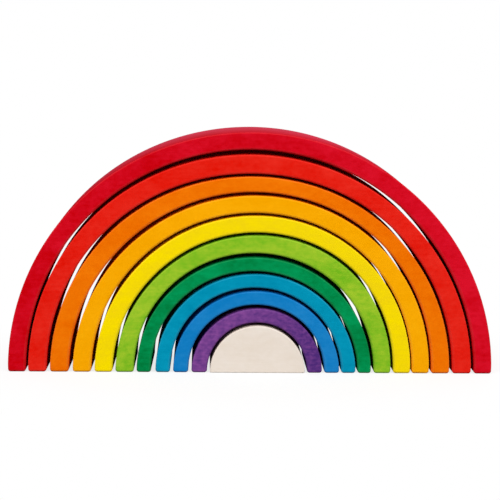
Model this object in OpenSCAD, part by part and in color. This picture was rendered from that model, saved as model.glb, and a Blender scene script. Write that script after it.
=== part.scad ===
// Rainbow stacker: ten wooden arches of rising size, nested over a solid half disc.
// Every piece is loose and stands on its own feet on one base plane.
// X runs across the rainbow, Y from front to back and Z upwards, in millimetres.
// The origin is on the base, at the centre of the outermost arch.

/* [Blank] */
// Depth of every piece, from its front face to its back face
depth = 60; // [30:1:90]
// Width of the saw cut between neighbouring pieces
gap = 2.25; // [1.5:0.05:5]
// Rounding of the long edges round the front and back faces
edge_r = 2; // [0.5:0.1:3]
// Rounding of the edges under the feet
foot_r = 2.4; // [0.5:0.1:3]

/* [Half disc] */
// Radius of the half disc in the middle
core_r = 35.6; // [20:0.1:60]

/* [Arch thicknesses] */
// Thickness of the violet arch
violet_t = 10.9; // [8:0.1:20]
// Thickness of the blue arch
blue_t = 10.7; // [8:0.1:20]
// Thickness of the turquoise arch
turquoise_t = 10.7; // [8:0.1:20]
// Thickness of the green arch
green_t = 10.6; // [8:0.1:20]
// Thickness of the lime arch
lime_t = 13.2; // [8:0.1:20]
// Thickness of the yellow arch
yellow_t = 12.5; // [8:0.1:20]
// Thickness of the amber arch
amber_t = 13; // [8:0.1:20]
// Thickness of the orange arch
orange_t = 13; // [8:0.1:20]
// Thickness of the red arch
red_t = 13.9; // [8:0.1:20]
// Thickness of the crimson arch
crimson_t = 13.4; // [8:0.1:20]

/* [Sideways play] */
// Where the half disc stands under the violet arch, as a share of the gap
core_play = 0.25; // [-0.8:0.05:0.8]
// Where the violet arch stands under the blue arch, as a share of the gap
violet_play = 0.4; // [-0.8:0.05:0.8]
// Where the blue arch stands under the turquoise arch, as a share of the gap
blue_play = 0.35; // [-0.8:0.05:0.8]
// Where the turquoise arch stands under the green arch, as a share of the gap
turquoise_play = 0.45; // [-0.8:0.05:0.8]
// Where the green arch stands under the lime arch, as a share of the gap
green_play = -0.2; // [-0.8:0.05:0.8]
// Where the lime arch stands under the yellow arch, as a share of the gap
lime_play = 0.1; // [-0.8:0.05:0.8]
// Where the yellow arch stands under the amber arch, as a share of the gap
yellow_play = 0.35; // [-0.8:0.05:0.8]
// Where the amber arch stands under the orange arch, as a share of the gap
amber_play = 0.4; // [-0.8:0.05:0.8]
// Where the orange arch stands under the red arch, as a share of the gap
orange_play = 0.2; // [-0.8:0.05:0.8]
// Where the red arch stands under the crimson arch, as a share of the gap
red_play = -0.1; // [-0.8:0.05:0.8]

/* [Hidden] */
$fn = 180;

// Radii of each arch from the innermost outwards: inside, then outside
violet_in = core_r + gap;
violet_out = violet_in + violet_t;
blue_in = violet_out + gap;
blue_out = blue_in + blue_t;
turquoise_in = blue_out + gap;
turquoise_out = turquoise_in + turquoise_t;
green_in = turquoise_out + gap;
green_out = green_in + green_t;
lime_in = green_out + gap;
lime_out = lime_in + lime_t;
yellow_in = lime_out + gap;
yellow_out = yellow_in + yellow_t;
amber_in = yellow_out + gap;
amber_out = amber_in + amber_t;
orange_in = amber_out + gap;
orange_out = orange_in + orange_t;
red_in = orange_out + gap;
red_out = red_in + red_t;
crimson_in = red_out + gap;
crimson_out = crimson_in + crimson_t;

// Sideways place of each piece, from the outermost inwards
crimson_x = 0;
red_x = crimson_x + red_play * gap;
orange_x = red_x + orange_play * gap;
amber_x = orange_x + amber_play * gap;
yellow_x = amber_x + yellow_play * gap;
lime_x = yellow_x + lime_play * gap;
green_x = lime_x + green_play * gap;
turquoise_x = green_x + turquoise_play * gap;
blue_x = turquoise_x + blue_play * gap;
violet_x = blue_x + violet_play * gap;
core_x = violet_x + core_play * gap;

// Rectangle of width w and height h from the origin, with all four corners rounded to r
module rounded_rect(w, h, r) {
    translate([r, 0]) square([w - 2 * r, h]);
    translate([0, r]) square([w, h - 2 * r]);
    for (x = [r, w - r], y = [r, h - r]) translate([x, y]) circle(r);
}

// Section of an arch across its thickness, its depth along the second axis
module arch_section(inside, outside) {
    translate([inside, -depth / 2]) rounded_rect(outside - inside, depth, edge_r);
}

// Section of the half disc, from its axis to its rim
module disc_section(outside) {
    intersection() {
        translate([-outside, -depth / 2]) rounded_rect(2 * outside, depth, edge_r);
        translate([0, -depth]) square([2 * outside, 2 * depth]);
    }
}

// Sweeps a section over half a turn, standing upright on the base
module half_turn() {
    rotate([90, 0, 0]) rotate_extrude(angle = 180) children();
}

// Outline that a foot from x = low to x = high keeps below the height of its rounding
module foot_outline(low, high) {
    translate([low + foot_r, 0]) square([high - low - 2 * foot_r, foot_r]);
    for (x = [low + foot_r, high - foot_r]) translate([x, foot_r]) circle(foot_r);
}

// Everything above the rounded feet, in a view of a piece of half width w
module above_feet(w) {
    translate([-w, foot_r]) square([2 * w, 2 * w]);
}

// Rounds the feet's front and back edges of a piece of radius outside
module round_front_and_back(outside) {
    intersection() {
        children();
        rotate([90, 0, 90]) linear_extrude(3 * outside, center = true) {
            foot_outline(-depth / 2, depth / 2);
            above_feet(outside + depth);
        }
    }
}

// An arch between two radii, with its feet on the base and its centre at x
module arch(inside, outside, x) {
    // the inner face leans in as it rises, so the foot's rounding starts a little inside it
    foot_in = sqrt(inside * inside - 2 * foot_r * foot_r);
    translate([x, 0, 0]) round_front_and_back(outside) intersection() {
        half_turn() arch_section(inside, outside);
        rotate([90, 0, 0]) linear_extrude(2 * depth, center = true) {
            foot_outline(foot_in, outside);
            mirror([1, 0]) foot_outline(foot_in, outside);
            above_feet(2 * outside);
        }
    }
}

module half_disc() {
    color("#e7dbcd") translate([core_x, 0, 0]) round_front_and_back(core_r) intersection() {
        half_turn() disc_section(core_r);
        rotate([90, 0, 0]) linear_extrude(2 * depth, center = true) {
            foot_outline(-core_r, core_r);
            above_feet(2 * core_r);
        }
    }
}

module violet_arch() {
    color("#6c3c83") arch(violet_in, violet_out, violet_x);
}

module blue_arch() {
    color("#147dc2") arch(blue_in, blue_out, blue_x);
}

module turquoise_arch() {
    color("#0290b2") arch(turquoise_in, turquoise_out, turquoise_x);
}

module green_arch() {
    color("#038b4b") arch(green_in, green_out, green_x);
}

module lime_arch() {
    color("#8ebe25") arch(lime_in, lime_out, lime_x);
}

module yellow_arch() {
    color("#f4d806") arch(yellow_in, yellow_out, yellow_x);
}

module amber_arch() {
    color("#f7a703") arch(amber_in, amber_out, amber_x);
}

module orange_arch() {
    color("#ee7203") arch(orange_in, orange_out, orange_x);
}

module red_arch() {
    color("#e41f12") arch(red_in, red_out, red_x);
}

module crimson_arch() {
    color("#d10a1b") arch(crimson_in, crimson_out, crimson_x);
}

half_disc();
violet_arch();
blue_arch();
turquoise_arch();
green_arch();
lime_arch();
yellow_arch();
amber_arch();
orange_arch();
red_arch();
crimson_arch();
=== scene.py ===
import math
import random

import bmesh
import bpy
from mathutils import Matrix, Vector


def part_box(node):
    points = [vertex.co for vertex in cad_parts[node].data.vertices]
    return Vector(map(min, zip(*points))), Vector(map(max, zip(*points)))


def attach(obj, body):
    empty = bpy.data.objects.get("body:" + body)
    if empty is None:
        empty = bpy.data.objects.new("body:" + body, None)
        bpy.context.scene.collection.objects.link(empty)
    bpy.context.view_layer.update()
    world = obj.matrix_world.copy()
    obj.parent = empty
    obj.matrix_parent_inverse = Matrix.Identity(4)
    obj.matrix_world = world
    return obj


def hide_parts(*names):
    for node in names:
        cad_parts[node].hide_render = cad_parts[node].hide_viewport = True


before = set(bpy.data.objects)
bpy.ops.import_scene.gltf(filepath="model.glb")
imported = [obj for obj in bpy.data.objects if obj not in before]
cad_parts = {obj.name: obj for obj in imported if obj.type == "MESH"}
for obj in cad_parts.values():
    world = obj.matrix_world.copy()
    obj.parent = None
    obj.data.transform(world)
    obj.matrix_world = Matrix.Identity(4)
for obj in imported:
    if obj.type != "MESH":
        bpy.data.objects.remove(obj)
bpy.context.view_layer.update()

mm = 0.001                                  # the frame is in metres
tiny = 1e-6                                 # a length that counts as nothing
pureWhite = (1, 1, 1, 1)


# Shader sketching: a Wire is one socket, and arithmetic on values adds their Math nodes
class Wire:
    def __init__(self, tree, port=None):
        self.tree = tree
        self.port = port

    def node(self, kind, settings=None, values=None, out=0):
        made = self.tree.nodes.new(kind)
        for name, value in (settings or {}).items():
            setattr(made, name, value)
        for key, value in (values or {}).items():
            if isinstance(value, Wire):
                self.tree.links.new(value.port, made.inputs[key])
            else:
                made.inputs[key].default_value = value
        return Wire(self.tree, made.outputs[out]) if made.outputs else None

    def arithmetic(self, operation, first, second=0.0, clamp=False):
        return self.node("ShaderNodeMath", {"operation": operation, "use_clamp": clamp},
                         {0: first, 1: second})

    def __add__(self, other):
        return self.arithmetic("ADD", self, other)

    def __radd__(self, other):
        return self.arithmetic("ADD", other, self)

    def __sub__(self, other):
        return self.arithmetic("SUBTRACT", self, other)

    def __rsub__(self, other):
        return self.arithmetic("SUBTRACT", other, self)

    def __mul__(self, other):
        return self.arithmetic("MULTIPLY", self, other)

    def __rmul__(self, other):
        return self.arithmetic("MULTIPLY", other, self)

    def __truediv__(self, other):
        return self.arithmetic("DIVIDE", self, other)

    def __rtruediv__(self, other):
        return self.arithmetic("DIVIDE", other, self)

    def __pow__(self, other):
        return self.arithmetic("POWER", self, other)

    def __rpow__(self, other):
        return self.arithmetic("POWER", other, self)

    def __abs__(self):
        return self.arithmetic("ABSOLUTE", self)

    def fract(self):
        return self.arithmetic("FRACT", self)

    def clamped(self):
        return self.arithmetic("ADD", self, 0.0, clamp=True)

    def part(self, axis):                   # one axis of a vector
        return self.node("ShaderNodeSeparateXYZ", None, {0: self}, axis)

    def mixed(self, first, second, blend="MIX"):    # this value blends two colours
        return self.node("ShaderNodeMix", {"data_type": "RGBA", "blend_type": blend},
                         {0: self, 6: first, 7: second}, 2)


def linear(hexColour):                      # "#rrggbb" as a linear colour, by the sRGB curve
    parts = [int(hexColour[i:i + 2], 16) / 255 for i in (1, 3, 5)]
    return [p / 12.92 if p <= 0.04045 else ((p + 0.055) / 1.055) ** 2.4 for p in parts] + [1.0]


def towards(colour, other, share):          # part of the way from one colour to another
    return [a + (b - a) * share for a, b in zip(colour, other)]


# Wood: growth rings about a pith that lies along X, grain, pores, blotches of stain and rubbed edges
woodFinish = {
    "cutSpread": (0.5, 0.03, 0.05),         # how far apart in the tree the pieces were cut, in metres
    "pith": (62 * mm, -140 * mm),           # y and z of the tree's middle, off the blank
    "ringWidth": 3.4 * mm,
    "ringWander": 5.0 * mm,
    "lateWoodPower": 3.0,                   # thins the dark line at each ring's end
    "grain": {"scale": (34, 1150, 1150), "detail": 4.0},    # per metre: long along X, fine across it
    "pores": {"scale": (170, 3300, 3300), "detail": 2.0},
    "mottle": {"scale": (240, 360, 360), "detail": 3.0},
    "blotch": {"scale": (26, 48, 48), "detail": 3.0, "rough": 0.6, "distort": 0.4},
    "wander": {"scale": (5, 16, 16), "detail": 2.0},
    "noiseMiddle": 0.5,
    "noiseRough": 0.55,
    "poreLevel": 0.12,                      # only the peaks of the noise are pores
    "poreSharpness": 9.0,
    "evenStain": 0.5,                       # half way from the deep colour to the pale one
    "endGrainPower": 3.0,                   # keeps each effect to the faces that look its way
    "wallPower": 2.0,
    "upwardPower": 1.5,
    "wear": 0.59,                           # how much the edges are rubbed, and how unevenly
    "wearPatches": 1.6,
    "sheenShare": 0.55,                      # painted sheen: the top is paler, and more so towards the back
    "sheenBackward": 14.0,                   # per metre
    "rough": {"grain": 0.16, "pores": 0.08, "edges": -0.05},
    "raised": {"grain": 0.45, "rings": 0.3, "pores": -0.5},
    "bumpHeight": 0.12 * mm,
}


def woodMaterial(name, look, tall):
    material = bpy.data.materials.new(name)
    material.use_nodes = True
    tree = material.node_tree
    tree.nodes.clear()
    pen = Wire(tree)
    at = pen.node("ShaderNodeTexCoord", None, None, "Object")
    normal = pen.node("ShaderNodeTexCoord", None, None, "Normal")
    edge = pen.node("ShaderNodeAttribute", {"attribute_name": "edge"}, None, "Fac")
    dice = random.Random(look["seed"])
    cut = [dice.uniform(-spread, spread) for spread in woodFinish["cutSpread"]]
    inTree = pen.node("ShaderNodeMapping", None, {"Vector": at, "Location": cut})

    def noise(scale, detail, rough=woodFinish["noiseRough"], distort=0.0):      # about zero
        stretched = pen.node("ShaderNodeMapping", None, {"Vector": inTree, "Scale": scale})
        cloud = pen.node("ShaderNodeTexNoise", None,
                         {"Vector": stretched, "Scale": 1.0, "Detail": detail,
                          "Roughness": rough, "Distortion": distort})
        return cloud - woodFinish["noiseMiddle"]

    grain = noise(**woodFinish["grain"])
    pores = noise(**woodFinish["pores"])
    mottle = noise(**woodFinish["mottle"])
    blotch = noise(**woodFinish["blotch"])
    wander = noise(**woodFinish["wander"])

    # rings: distance from the pith, bent a little along the grain
    across, up = [inTree.part(axis) - pith for axis, pith in zip("YZ", woodFinish["pith"])]
    radius = (across * across + up * up) ** 0.5 + wander * woodFinish["ringWander"]
    lateWood = (radius / woodFinish["ringWidth"]).fract() ** woodFinish["lateWoodPower"]

    # the stain takes unevenly: deeper in blotches, on late wood and on end grain
    endGrain = abs(normal.part("X")) ** woodFinish["endGrainPower"]
    poreMark = ((pores - woodFinish["poreLevel"]) * woodFinish["poreSharpness"]).clamped()
    uneven = (woodFinish["evenStain"] + blotch * look["blotch"] + mottle * look["mottle"]
              + grain * look["grain"] - lateWood * look["rings"]
              + at.part("X") * look["drift"] + (at.part("Z") - tall / 2) * look["lift"]
              - endGrain * look["endGrain"] - poreMark * look["pores"])
    pale = linear(look["pale"])
    colour = uneven.clamped().mixed(linear(look["deep"]), pale)
    wall = (1 - abs(normal.part("Y"))) ** woodFinish["wallPower"]   # painted shade: the walls between the arches are darkened by multiplying the colour by itself
    colour = (wall * look["wallShade"]).mixed(colour, colour, "MULTIPLY")
    wear = woodFinish["wear"] + blotch * woodFinish["wearPatches"]
    bare = towards(pale, linear(look["bare"]), look["bareShare"])
    colour = (edge * wear * look["rubbed"]).clamped().mixed(colour, bare)
    # painted sheen: faces that look upwards are mixed towards a pale colour, more so towards the back
    upward = normal.part("Z").clamped() ** woodFinish["upwardPower"]
    backward = woodFinish["sheenShare"] + at.part("Y") * woodFinish["sheenBackward"]
    colour = (upward * backward * look["paintedSheen"]).clamped().mixed(colour, linear(look["sheenColour"]))

    rough = woodFinish["rough"]
    roughness = look["roughness"] + grain * rough["grain"] + poreMark * rough["pores"]
    roughness = roughness + edge * rough["edges"]
    raised = woodFinish["raised"]
    height = grain * raised["grain"] + lateWood * raised["rings"] + poreMark * raised["pores"]
    bump = pen.node("ShaderNodeBump", None,
                    {"Strength": look["relief"], "Distance": woodFinish["bumpHeight"],
                     "Height": height})
    shader = pen.node("ShaderNodeBsdfPrincipled", None,
                      {"Base Color": colour, "Roughness": roughness, "Normal": bump,
                       "Specular IOR Level": 0.0})
    pen.node("ShaderNodeOutputMaterial", None, {"Surface": shader})
    return material


# Rounded edges, and cuts that stray like a hand-held saw's
rounding = {
    "steps": 5,
    "sharpest": math.radians(40),           # faces that turn by more than this meet in a sharp edge
    "alongLeast": 1 * mm,                   # an edge that goes back by more runs along the depth
}


def roundOff(bm, width, wanted):            # rounds the sharp edges that pass the test
    sharp = [e for e in bm.edges if e.calc_face_angle() > rounding["sharpest"] and wanted(e)]
    return bmesh.ops.bevel(bm, geom=sharp, offset=width, offset_type="OFFSET", affect="EDGES",
                           segments=rounding["steps"], profile=0.5, material=-1,
                           clamp_overlap=True)


def runsAlong(edge):                        # from the front to the back
    return abs(edge.verts[0].co.y - edge.verts[1].co.y) > rounding["alongLeast"]


def roundPiece(bm, footRound, edgeRound):
    roundOff(bm, footRound, runsAlong)
    return roundOff(bm, edgeRound, lambda edge: not runsAlong(edge))


def markEdges(bm, rounded):                 # 1 on the rounded edges and 0 on the faces
    layer = bm.verts.layers.float.new("edge")
    roundFaces = set(rounded["faces"])
    for vert in bm.verts:
        vert[layer] = 1.0 if all(f in roundFaces for f in vert.link_faces) else 0.0


# How far a cut strays outwards, in mm, at a turn from 0 at the left foot to 1 at the right foot:
# a Catmull-Rom curve through the stations
def strayed(stations, turn):
    place = turn * (len(stations) - 1)
    first = min(int(place), len(stations) - 2)
    f = place - first
    a, b, c, d = [stations[0], *stations, stations[-1]][first:first + 4]
    return b + f * (c - a + f * (2 * a - 5 * b + 4 * c - d + f * (3 * (b - c) + d - a))) / 2


def sawByHand(bm, middle, inner, outer, insideCut, outsideCut):
    front, back = min(v.co.y for v in bm.verts), max(v.co.y for v in bm.verts)
    for vert in bm.verts:
        across, up = vert.co.x - middle, vert.co.z
        radius = max(math.hypot(across, up), tiny)
        turn = 1 - math.atan2(max(up, 0), across) / math.pi
        share = (radius - inner) / (outer - inner)
        within = strayed(insideCut["sawn"], turn) + strayed(insideCut["kerf"], turn) / 2
        without = strayed(outsideCut["sawn"], turn) - strayed(outsideCut["kerf"], turn) / 2
        deep = (vert.co.y - front) / (back - front)
        closing = (share - 0.5) * outsideCut["closing"] + outsideCut.get("taper", 0)
        off = within * (1 - share) + without * share + closing * deep
        vert.co.x = middle + across * (1 + off * mm / radius)
        vert.co.z = up * (1 + off * mm / radius)


def finishPiece(bm, name, body, slot, material):
    bmesh.ops.recalc_face_normals(bm, faces=bm.faces)
    mesh = bpy.data.meshes.new(name)
    bm.to_mesh(mesh)
    bm.free()
    mesh.shade_smooth()
    mesh.materials.append(material)
    piece = bpy.data.objects.new(name, mesh)
    bpy.context.scene.collection.objects.link(piece)
    piece.modifiers.new("evenShading", "WEIGHTED_NORMAL")
    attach(piece, body)
    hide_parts(body)


# The half disc of bare wood in the middle
halfDisc = {
    "rimSteps": 192, "edgeRound": 0.8 * mm, "footRound": 1.0 * mm,
    "sawn": (-0.5, -0.1, 0, -0.2, -0.3), "kerf": (-0.7, 0.2, 0.1), "closing": 0,
    "seed": 1810, "deep": "#e5d8ca", "pale": "#ede2d8", "bare": "#efe6db", "bareShare": 1,
    "blotch": 1.8, "mottle": 0.9, "grain": 0.4, "rings": 0.04, "endGrain": 0.3, "pores": 0.1,
    # painted shade darkens the rim and bottom of the half disc
    "drift": 0, "lift": 0, "wallShade": 0.6, "paintedSheen": 0, "sheenColour": "#e7dbcd",
    "rubbed": 0.3, "roughness": 0.6, "relief": 0.2,
}


def buildHalfDisc():
    low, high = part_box("half_disc")
    middle = (low.x + high.x) / 2
    bm = bmesh.new()
    upright = Matrix.Translation((middle, low.y, 0)) @ Matrix.Rotation(math.pi / 2, 4, "X")
    bmesh.ops.create_circle(bm, cap_ends=True, segments=halfDisc["rimSteps"], radius=high.z,
                            matrix=upright)
    bmesh.ops.bisect_plane(bm, geom=[*bm.verts, *bm.edges, *bm.faces], dist=tiny,
                           plane_co=(0, 0, 0), plane_no=(0, 0, 1), clear_inner=True)
    grown = bmesh.ops.extrude_face_region(bm, geom=list(bm.faces))
    moved = [v for v in grown["geom"] if isinstance(v, bmesh.types.BMVert)]
    bmesh.ops.translate(bm, verts=moved, vec=(0, high.y - low.y, 0))
    bmesh.ops.recalc_face_normals(bm, faces=bm.faces)
    markEdges(bm, roundPiece(bm, halfDisc["footRound"], halfDisc["edgeRound"]))
    sawByHand(bm, middle, 0, high.z, halfDisc, halfDisc)
    material = woodMaterial("bareLimeWood", halfDisc, high.z)
    finishPiece(bm, "halfDisc", "half_disc", "natural_wood", material)


# The ten arches, from the outermost inwards
archShape = {
    "sawCut": 2.25 * mm,                    # gap between neighbours
    "edgeRound": 2.0 * mm,
    "footRound": 2.0 * mm,
    "stepShare": 1.2,                       # of a foot's rounding, so that the last step holds it
    "crispShare": 0.5,                      # of the rounding on the outer edges, which are crisper
    "crispRise": (2.0 * mm, 6.0 * mm),      # heights over which this sets in above the feet
}

stainFinish = {                             # for every arch that has no value of its own
    "blotch": 2.2, "mottle": 1.2, "grain": 0.5, "rings": 0.06, "endGrain": 0.3, "pores": 0.3,
    # the pale pink that the tops are mixed towards is a painted sheen
    "drift": 0, "lift": 0, "paintedSheen": 0, "sheenColour": "#d9bce7", "bare": "#e7dbcd", "bareShare": 0.3,
    "rubbed": 0.06, "roughness": 0.55, "relief": 0.2,
}

# In mm, for the cut outside each arch: sawn is how far it strays outwards from the left foot over
# the crown to the right foot, and kerf how much wider it is there. Towards the back the arch gets
# thicker by closing and larger by taper.
arches = [
    # only the crimson arch's top gets the painted sheen
    {"name": "crimson", "seed": 600, "deep": "#c4020d", "pale": "#d71229", "wallShade": 0,
     "drift": 1.2, "paintedSheen": 0.12, "closing": 0,
     "sawn": (0, 0, -1.2, -0.7, 0), "kerf": (0, 0, 0)},
    {"name": "red", "seed": 1101, "deep": "#dc1306", "pale": "#e52b1f", "wallShade": 0,
     "drift": 0.6, "closing": 0.9,
     "sawn": (0.4, 0.1, -1.2, -1.1, 0.4), "kerf": (-0.3, 0.3, 1.5, 0, -0.3)},
    {"name": "orange", "seed": 202, "deep": "#e76900", "pale": "#f07907", "wallShade": 0.4,
     "closing": 0.6,
     "sawn": (1.0, -0.1, -1.8, -0.3, 0.2), "kerf": (0, 0.2, 0, 0.3, 0.5)},
    {"name": "amber", "seed": 103, "deep": "#f1a100", "pale": "#f8ab08", "wallShade": 0.45,
     "closing": 0.6,
     "sawn": (0.3, -1.1, -0.3, 0.7, -0.8), "kerf": (-0.2, 0.4, 0.3)},
    {"name": "yellow", "seed": 2004, "deep": "#eed010", "pale": "#f7dc00", "wallShade": 0.45,
     "lift": -1.5, "closing": 0.6,
     "sawn": (0, -0.9, -0.1, 0.8, -0.7), "kerf": (-0.5, 0, -0.4)},
    {"name": "lime", "seed": 805, "deep": "#70b41d", "pale": "#a4c62f", "wallShade": 0.4,
     "closing": 0.6,
     "sawn": (-0.4, -1.3, 0.1, 1.4, -0.8), "kerf": (-0.3, 0, 0)},
    {"name": "green", "seed": 1106, "deep": "#027a3d", "pale": "#049958", "wallShade": 0.3,
     "lift": 1.0, "closing": 0.6, "taper": -0.6,
     "sawn": (-0.8, -0.3, -0.2, 0.2, 0.2), "kerf": (0.2, 0.9, -0.6)},
    {"name": "turquoise", "seed": 907, "deep": "#0088ab", "pale": "#0797ba", "wallShade": 0,
     "closing": 0.6,
     "sawn": (-1.0, -0.1, -0.4, 0.2, 1.0), "kerf": (0.1, 0.1, 0.3)},
    {"name": "blue", "seed": 1508, "deep": "#0777bd", "pale": "#2083c7", "wallShade": 0.3,
     "closing": 0.6,
     "sawn": (-0.8, 0, 0, 0.1, 0.8), "kerf": (-0.8, 0.4, 0.4, 0.2, 0)},
    {"name": "violet", "seed": 1409, "deep": "#4e2c76", "pale": "#864a96", "wallShade": 0.4,
     "drift": -6, "lift": 4, "blotch": 0.4, "mottle": 1.8, "closing": 0.6,
     "sawn": (-0.6, 0, 0, 0.3, 0.1), "kerf": (-0.8, 0.7, 0.6, 0.4, 0.3)},
]


def crispOuterEdges(bm, middle, inner, outer, front, back):     # draws them to the sharp corner
    low, high = archShape["crispRise"]
    for vert in bm.verts:
        across, up = vert.co.x - middle, vert.co.z
        radius = math.hypot(across, up)
        if radius < (inner + outer) / 2:
            continue
        rise = min(max((up - low) / (high - low), 0), 1)
        scale = 1 + (archShape["crispShare"] - 1) * rise
        face = front if vert.co.y < (front + back) / 2 else back
        drawn = (outer + (radius - outer) * scale) / radius
        vert.co = (middle + across * drawn, face + (vert.co.y - face) * scale, up * drawn)


def buildArch(arch, inside, nodeName, insideNode):
    low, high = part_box(nodeName)
    middle = (low.x + high.x) / 2
    outer = high.z
    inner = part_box(insideNode)[1].z + archShape["sawCut"]
    steps = int(math.pi * inner / (archShape["stepShare"] * archShape["footRound"]))
    bm = bmesh.new()
    corners = [(inner, low.y), (outer, low.y), (outer, high.y), (inner, high.y)]
    ring = [bm.verts.new((middle + r, y, 0)) for r, y in corners]
    foot = bm.faces.new(ring)
    bmesh.ops.spin(bm, geom=[foot, *foot.edges, *ring], cent=(middle, 0, 0), axis=(0, -1, 0),
                   angle=math.pi, steps=steps, use_duplicate=False)
    bmesh.ops.recalc_face_normals(bm, faces=bm.faces)
    markEdges(bm, roundPiece(bm, archShape["footRound"], archShape["edgeRound"]))
    crispOuterEdges(bm, middle, inner, outer, low.y, high.y)
    sawByHand(bm, middle, inner, outer, inside, arch)
    material = woodMaterial(arch["name"] + "Stain", {**stainFinish, **arch}, outer)
    finishPiece(bm, arch["name"] + "Arch", nodeName, arch["name"] + "_stain", material)


nodeOrder = [arch["name"] + "_arch" for arch in arches] + ["half_disc"]
insides = arches[1:] + [halfDisc]
for arch, inside, nodeName, insideNode in zip(arches, insides, nodeOrder, nodeOrder[1:]):
    buildArch(arch, inside, nodeName, insideNode)
buildHalfDisc()
print("arches and half disc:", len(nodeOrder))


# Pale floor that keeps a soft shadow, and a white surround
stage = {
    "floorSize": 12.0,
    "floorColour": "#8c8c8a",               # as the wood sees it
    "shadowReach": (0.30, 0.17),            # half width and half depth of the shadow's patch
    "shadowCore": 0.55,                     # share of the reach before the patch fades out
    "shadowFall": 2.2,
    "shadowShare": 0.2,                     # how much of the shadow shows in the patch's middle
    "skyStrength": 0.2,
}


def seesWhite(pen):                         # camera, glossy and transmission rays see white
    kinds = ("Is Camera Ray", "Is Glossy Ray", "Is Transmission Ray")
    camera, glossy, through = [pen.node("ShaderNodeLightPath", None, None, kind) for kind in kinds]
    return (camera + glossy + through).clamped()


def floorMaterial():
    material = bpy.data.materials.new("paleFloor")
    material.use_nodes = True
    tree = material.node_tree
    tree.nodes.clear()
    pen = Wire(tree)
    seen = seesWhite(pen)
    matt = pen.node("ShaderNodeBsdfDiffuse", None,
                    {"Color": seen.mixed(linear(stage["floorColour"]), pureWhite)})
    white = pen.node("ShaderNodeEmission", None, {"Color": pureWhite, "Strength": 1.0})
    place = pen.node("ShaderNodeTexCoord", None, None, "Object")
    across, along = [place.part(axis) / reach for axis, reach in zip("XY", stage["shadowReach"])]
    away = ((across * across + along * along) ** 0.5 - stage["shadowCore"]).clamped()
    near = (1 - away * stage["shadowFall"]).clamped()
    share = seen * (1 - near * near * stage["shadowShare"])
    both = pen.node("ShaderNodeMixShader", None, {0: share, 1: matt, 2: white})
    pen.node("ShaderNodeOutputMaterial", None, {"Surface": both})
    return material


def buildFloor():
    bm = bmesh.new()
    bmesh.ops.create_grid(bm, x_segments=1, y_segments=1, size=stage["floorSize"] / 2)
    mesh = bpy.data.meshes.new("floor")
    bm.to_mesh(mesh)
    bm.free()
    mesh.materials.append(floorMaterial())
    floor = bpy.data.objects.new("floor", mesh)
    bpy.context.scene.collection.objects.link(floor)


def buildSurround():
    world = bpy.data.worlds.new("whiteSurround")
    bpy.context.scene.world = world
    world.use_nodes = True
    tree = world.node_tree
    tree.nodes.clear()
    pen = Wire(tree)
    soft = pen.node("ShaderNodeBackground", None,
                    {"Color": pureWhite, "Strength": stage["skyStrength"]})
    white = pen.node("ShaderNodeBackground", None, {"Color": pureWhite, "Strength": 1.0})
    sky = pen.node("ShaderNodeMixShader", None, {0: seesWhite(pen), 1: soft, 2: white})
    pen.node("ShaderNodeOutputWorld", None, {"Surface": sky})


buildFloor()
buildSurround()
print("floor and surround: set")


# Soft studio lamps: one from each side of the front, a weak one overhead and one behind
lamps = [
    {"name": "leftSoftbox", "at": (-2.0, -1.9, 1.6), "aim": (0, 0, 0.08),
     "size": 1.2, "watts": 66.5},
    {"name": "rightSoftbox", "at": (2.0, -1.9, 1.6), "aim": (0, 0, 0.08),
     "size": 1.2, "watts": 66.5},
    {"name": "topSoftbox", "at": (0.1, 0.1, 1.5), "aim": (0, 0, 0.1),
     "size": 1.2, "watts": 2},
    {"name": "backSoftbox", "at": (0.5, 2.7, 0.7), "aim": (0, 0, 0.08),
     "size": 1.4, "watts": 46},
]


def buildLamp(lamp):
    data = bpy.data.lights.new(lamp["name"], "AREA")
    data.shape = "SQUARE"
    data.size = lamp["size"]
    data.energy = lamp["watts"]
    holder = bpy.data.objects.new(lamp["name"], data)
    holder.location = lamp["at"]
    beam = Vector(lamp["aim"]) - Vector(lamp["at"])
    holder.rotation_euler = beam.to_track_quat("-Z", "Y").to_euler()
    bpy.context.scene.collection.objects.link(holder)


for lamp in lamps:
    buildLamp(lamp)
print("lamps:", len(lamps))


# Camera: a little left of the middle and above the crown, looking slightly down
cameraSet = {
    "at": (-32.8 * mm, -1061 * mm, 254.5 * mm),
    "yaw": 1.73, "pitch": 8.92,             # degrees, to the right and downwards
    "roll": 0.68,                           # degrees that the picture turns clockwise
    "focalPixels": 1423, "imagePixels": 500, "sensor": 36.0,
}


def buildCamera():
    data = bpy.data.cameras.new("camera")
    data.sensor_width = cameraSet["sensor"]
    data.lens = cameraSet["sensor"] * cameraSet["focalPixels"] / cameraSet["imagePixels"]
    camera = bpy.data.objects.new("camera", data)
    bpy.context.scene.collection.objects.link(camera)
    yaw, pitch, roll = [math.radians(cameraSet[k]) for k in ("yaw", "pitch", "roll")]
    turn = (Matrix.Rotation(-yaw, 4, "Z") @ Matrix.Rotation(math.pi / 2 - pitch, 4, "X")
            @ Matrix.Rotation(roll, 4, "Z"))
    camera.matrix_world = Matrix.Translation(cameraSet["at"]) @ turn
    bpy.context.scene.camera = camera


buildCamera()
bpy.context.scene.view_settings.view_transform = "Standard"
print("camera: set")
